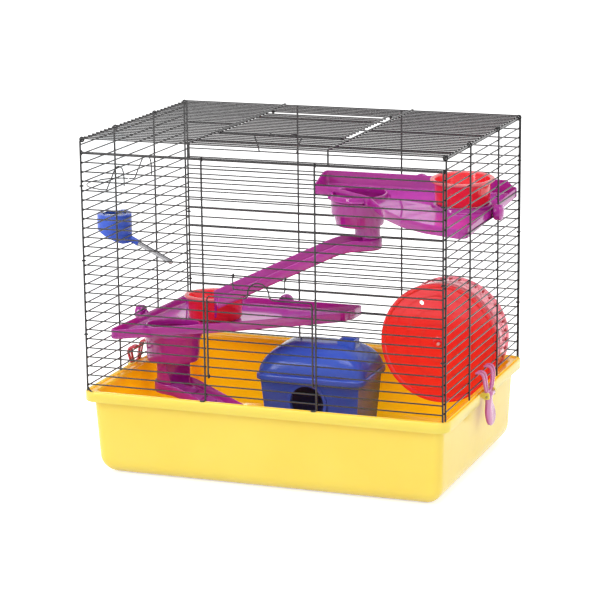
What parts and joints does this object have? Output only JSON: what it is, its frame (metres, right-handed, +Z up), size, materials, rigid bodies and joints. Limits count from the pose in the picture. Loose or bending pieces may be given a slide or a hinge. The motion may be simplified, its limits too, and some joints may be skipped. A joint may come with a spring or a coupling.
{
  "type": "small animal cage",
  "caption": "Two-level wire cage on a deep plastic tray, with shelves, ramps, bowls, wheel, house and water bottle for small rodents.",
  "frame": {"origin": "centre of the tray's underside, on the surface it stands on", "axes": "+Z up, -Y towards the front door, +X to the right seen from the front door"},
  "size_m": [0.5536, 0.3577, 0.445],
  "materials": {
    "wire": "glossy dark grey coating",
    "bright_steel": "bright",
    "yellow_plastic": "smooth gloss",
    "purple_plastic": "smooth gloss, slightly translucent",
    "red_plastic": "smooth gloss, slightly translucent",
    "blue_plastic": "smooth gloss",
    "pink_plastic": "smooth gloss, slightly translucent",
    "crimson_plastic": "smooth gloss, slightly translucent",
    "white_plastic": "smooth",
    "clear_plastic": "clear thin plastic"
  },
  "bodies": {
    "cage": {"base_tray": "yellow_plastic", "clip_pins": "bright_steel", "front_panel": "wire", "back_panel": "wire", "left_panel": "wire", "right_panel": "wire", "roof_panel": "wire", "corner_rings": "wire", "front_door_catch": "wire", "roof_hatch_catch": "wire", "upper_shelf": "purple_plastic", "upper_funnel": "purple_plastic", "upper_ramp": "purple_plastic", "upper_side_knob": "purple_plastic", "upper_back_knob": "purple_plastic", "lower_shelf": "purple_plastic", "lower_funnel": "purple_plastic", "lower_ramp": "purple_plastic", "lower_side_knob": "purple_plastic", "lower_back_knob": "purple_plastic", "house_body": "blue_plastic", "wheel_axle": "bright_steel", "wheel_axle_cap": "white_plastic", "wheel_bracket": "purple_plastic", "bottle_holder": "wire", "bottle_cap": "blue_plastic", "bottle_seal": "white_plastic", "drinking_tube": "bright_steel", "tube_ball": "bright_steel"},
    "left_clip": {"left_clip": "crimson_plastic"},
    "right_clip": {"right_clip": "pink_plastic"},
    "front_door": {"front_door": "wire"},
    "roof_hatch": {"roof_hatch": "wire"},
    "upper_bowl": {"upper_bowl": "red_plastic"},
    "lower_bowl": {"lower_bowl": "red_plastic"},
    "house_roof": {"house_roof": "blue_plastic"},
    "wheel": {"wheel_disc": "red_plastic", "wheel_drum": "red_plastic"},
    "bottle": {"water_bottle": "clear_plastic"}
  },
  "joints": [
    {"name": "left_clip_rock", "type": "hinge", "parent": "cage", "child": "left_clip", "pos_m": [-0.2485, 0, 0.106], "axis": [0, -1, 0], "range_deg": [0, 24]},
    {"name": "right_clip_rock", "type": "hinge", "parent": "cage", "child": "right_clip", "pos_m": [0.2485, 0, 0.106], "axis": [0, 1, 0], "range_deg": [0, 24]},
    {"name": "front_door_swing", "type": "hinge", "parent": "cage", "child": "front_door", "pos_m": [0, -0.169, 0.146], "axis": [1, 0, 0], "range_deg": [0, 150]},
    {"name": "roof_hatch_swing", "type": "hinge", "parent": "cage", "child": "roof_hatch", "pos_m": [0, 0.108, 0.44], "axis": [-1, 0, 0], "range_deg": [0, 150]},
    {"name": "wheel_spin", "type": "hinge", "parent": "cage", "child": "wheel", "pos_m": [0.153, 0.1, 0.144], "axis": [0, 1, 0], "continuous": true},
    {"name": "house_roof_lift", "type": "slide", "parent": "cage", "child": "house_roof", "axis": [0, 0, 1], "range_m": [0, 0.01]},
    {"name": "upper_bowl_lift", "type": "slide", "parent": "cage", "child": "upper_bowl", "axis": [0, -0.0489, 0.9988], "range_m": [0, 0.04]},
    {"name": "lower_bowl_lift", "type": "slide", "parent": "cage", "child": "lower_bowl", "axis": [0, 0.0384, 0.9993], "range_m": [0, 0.04]},
    {"name": "bottle_turn", "type": "hinge", "parent": "cage", "child": "bottle", "pos_m": [-0.2624, -0.022, 0.3163], "axis": [0, 0, 1], "range_deg": [0, 360]}
  ]
}
